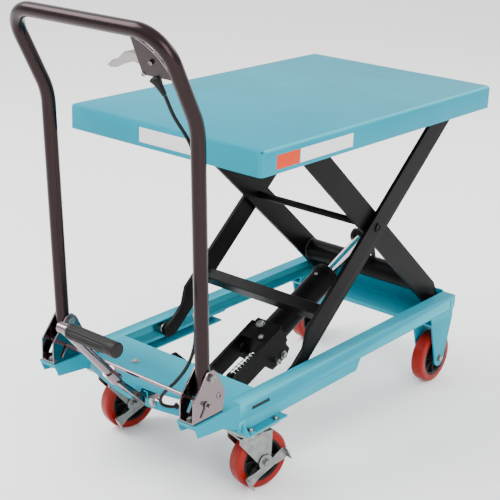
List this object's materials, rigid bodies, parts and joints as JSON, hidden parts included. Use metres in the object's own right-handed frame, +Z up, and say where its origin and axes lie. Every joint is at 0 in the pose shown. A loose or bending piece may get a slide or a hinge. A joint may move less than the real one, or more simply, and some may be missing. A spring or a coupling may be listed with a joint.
{
  "type": "scissor lift table",
  "caption": "Hand-pushed hydraulic scissor lift table with foot pump, swivel casters at the handle end and fixed rear wheels",
  "frame": {"origin": "centre of the footprint on the floor, under the middle of the overall length and width", "axes": "+Z up, +X to the table's right, the push handle at the -Y end, rest pose with the platform half raised"},
  "size_m": [0.5, 1.0916, 0.969],
  "materials": {
    "paint": "satin teal paint",
    "chrome": "polished, dark reflections",
    "black_steel": "satin black",
    "zinc": "zinc plated",
    "polyurethane": "red polyurethane tread",
    "black_plastic": "moulded",
    "rubber": "ribbed black rubber",
    "bright_lever": "polished"
  },
  "bodies": {
    "base": {"side_rail_right": "paint", "side_rail_left": "paint", "rail_stiffener_right": "paint", "rail_stiffener_left": "paint", "front_deck": "paint", "rear_cross_plate": "paint", "handle_horn_right": "paint", "handle_horn_left": "paint", "caster_mount_right": "paint", "caster_mount_left": "paint", "rear_fork_right": "paint", "rear_fork_left": "paint", "handle_bracket_right": "chrome", "handle_bracket_left": "chrome", "cylinder_hanger": "black_steel", "pedal_shaft": "zinc", "caster_plate_right": "zinc", "caster_plate_left": "zinc", "handle_bolt_right": "zinc", "handle_bolt_left": "zinc", "control_cable": "rubber"},
    "inner_arms": {"inner_arm_right": "black_steel", "inner_arm_left": "black_steel", "thrust_tube": "black_steel"},
    "outer_arms": {"outer_arm_right": "black_steel", "outer_arm_left": "black_steel", "arm_crossbar": "black_steel", "centre_shaft": "zinc"},
    "platform": {"platform_top": "paint", "platform_channel_right": "black_steel", "platform_channel_left": "black_steel"},
    "handle": {"push_handle": "chrome", "lever_bracket": "chrome", "cable_boot": "rubber"},
    "release_lever": {"release_lever": "bright_lever"},
    "lock_rod": {"lock_rod": "zinc"},
    "ram_rod": {"ram_rod": "chrome"},
    "cylinder_unit": {"cylinder_barrel": "black_steel", "pump_body": "black_steel", "return_spring": "zinc"},
    "plunger": {"plunger": "zinc"},
    "pedal": {"pedal_arm": "chrome", "pedal_grip": "rubber"},
    "lower_roller_right": {"lower_roller_right": "zinc"},
    "upper_roller_right": {"upper_roller_right": "zinc"},
    "rear_wheel_right": {"rear_tyre_right": "polyurethane", "rear_hub_right": "black_plastic"},
    "caster_right": {"caster_fork_right": "zinc"},
    "caster_wheel_right": {"caster_tyre_right": "polyurethane", "caster_hub_right": "black_plastic"},
    "brake_right": {"caster_brake_right": "zinc"},
    "lower_roller_left": {"lower_roller_left": "zinc"},
    "upper_roller_left": {"upper_roller_left": "zinc"},
    "rear_wheel_left": {"rear_tyre_left": "polyurethane", "rear_hub_left": "black_plastic"},
    "caster_left": {"caster_fork_left": "zinc"},
    "caster_wheel_left": {"caster_tyre_left": "polyurethane", "caster_hub_left": "black_plastic"},
    "brake_left": {"caster_brake_left": "zinc"}
  },
  "joints": [
    {"name": "lift", "type": "hinge", "parent": "base", "child": "inner_arms", "pos_m": [0, 0.51225, 0.198], "axis": [-1, 0, 0], "range_deg": [-36.6, 16.7]},
    {"name": "scissor", "type": "hinge", "parent": "inner_arms", "child": "outer_arms", "pos_m": [0, 0.22047, 0.45299], "axis": [-1, 0, 0], "range_deg": [-33.6, 73.4]},
    {"name": "platform_pivot", "type": "hinge", "parent": "outer_arms", "child": "platform", "pos_m": [0, 0.51225, 0.70798], "axis": [-1, 0, 0], "range_deg": [-36.8, 16.9]},
    {"name": "lower_roller_spin_right", "type": "hinge", "parent": "outer_arms", "child": "lower_roller_right", "pos_m": [0.192, -0.07132, 0.198], "axis": [1, 0, 0], "continuous": true},
    {"name": "upper_roller_spin_right", "type": "hinge", "parent": "inner_arms", "child": "upper_roller_right", "pos_m": [0.192, -0.07132, 0.70798], "axis": [1, 0, 0], "continuous": true},
    {"name": "rear_wheel_spin_right", "type": "hinge", "parent": "base", "child": "rear_wheel_right", "pos_m": [0.184, 0.48225, 0.0635], "axis": [1, 0, 0], "continuous": true},
    {"name": "caster_swivel_right", "type": "hinge", "parent": "base", "child": "caster_right", "pos_m": [0.186, -0.21775, 0.13], "axis": [0, 0, 1], "continuous": true},
    {"name": "caster_wheel_spin_right", "type": "hinge", "parent": "caster_right", "child": "caster_wheel_right", "pos_m": [0.19326, -0.18864, 0.0635], "axis": [0.9703, -0.2419, 0], "continuous": true},
    {"name": "brake_rock_right", "type": "hinge", "parent": "caster_right", "child": "brake_right", "pos_m": [0.21849, -0.19493, 0.0635], "axis": [0.9703, -0.2419, 0], "range_deg": [0, 9]},
    {"name": "lower_roller_spin_left", "type": "hinge", "parent": "outer_arms", "child": "lower_roller_left", "pos_m": [-0.192, -0.07132, 0.198], "axis": [1, 0, 0], "continuous": true},
    {"name": "upper_roller_spin_left", "type": "hinge", "parent": "inner_arms", "child": "upper_roller_left", "pos_m": [-0.192, -0.07132, 0.70798], "axis": [1, 0, 0], "continuous": true},
    {"name": "rear_wheel_spin_left", "type": "hinge", "parent": "base", "child": "rear_wheel_left", "pos_m": [-0.184, 0.48225, 0.0635], "axis": [1, 0, 0], "continuous": true},
    {"name": "caster_swivel_left", "type": "hinge", "parent": "base", "child": "caster_left", "pos_m": [-0.186, -0.21775, 0.13], "axis": [0, 0, 1], "continuous": true},
    {"name": "caster_wheel_spin_left", "type": "hinge", "parent": "caster_left", "child": "caster_wheel_left", "pos_m": [-0.17874, -0.18864, 0.0635], "axis": [0.9703, -0.2419, 0], "continuous": true},
    {"name": "brake_rock_left", "type": "hinge", "parent": "caster_left", "child": "brake_left", "pos_m": [-0.15351, -0.19493, 0.0635], "axis": [0.9703, -0.2419, 0], "range_deg": [0, 9]},
    {"name": "handle_fold", "type": "hinge", "parent": "base", "child": "handle", "pos_m": [0, -0.35975, 0.306], "axis": [-1, 0, 0], "range_deg": [0, 8], "deforming": ["control_cable"]},
    {"name": "release_lever_pull", "type": "hinge", "parent": "handle", "child": "release_lever", "pos_m": [0.145, -0.45156, 0.90207], "axis": [0, 0.8826, 0.47], "range_deg": [0, 14], "stiffness_Nm_per_rad": 0.6, "springref_deg": -17.19},
    {"name": "lock_rod_slide", "type": "slide", "parent": "base", "child": "lock_rod", "axis": [0, -0.515, -0.8572], "range_m": [0, 0.013], "stiffness_N_per_m": 150, "springref_m": -0.03},
    {"name": "rod_pivot", "type": "hinge", "parent": "inner_arms", "child": "ram_rod", "pos_m": [0, 0.42725, 0.336], "axis": [-1, 0, 0], "range_deg": [-18.4, 40.1]},
    {"name": "ram_stroke", "type": "slide", "parent": "ram_rod", "child": "cylinder_unit", "axis": [0, -0.9185, -0.3953], "range_m": [-0.0945, 0.0432]},
    {"name": "pedal_press", "type": "hinge", "parent": "base", "child": "pedal", "pos_m": [0, -0.13775, 0.16], "axis": [1, 0, 0], "range_deg": [0, 28], "stiffness_Nm_per_rad": 15, "springref_deg": -28.65, "deforming": ["return_spring"]},
    {"name": "plunger_stroke", "type": "slide", "parent": "cylinder_unit", "child": "plunger", "axis": [0, 0.9489, 0.3156], "range_m": [0, 0.0202]}
  ],
  "couplings": [
    {"joint": "scissor", "follows": "lift", "ratio": -2},
    {"joint": "platform_pivot", "follows": "lift", "ratio": 1},
    {"joint": "rod_pivot", "follows": "lift", "ratio": -1.09},
    {"joint": "ram_stroke", "follows": "lift", "m_per_rad": 0.146},
    {"joint": "plunger_stroke", "follows": "pedal_press", "m_per_rad": 0.041}
  ]
}
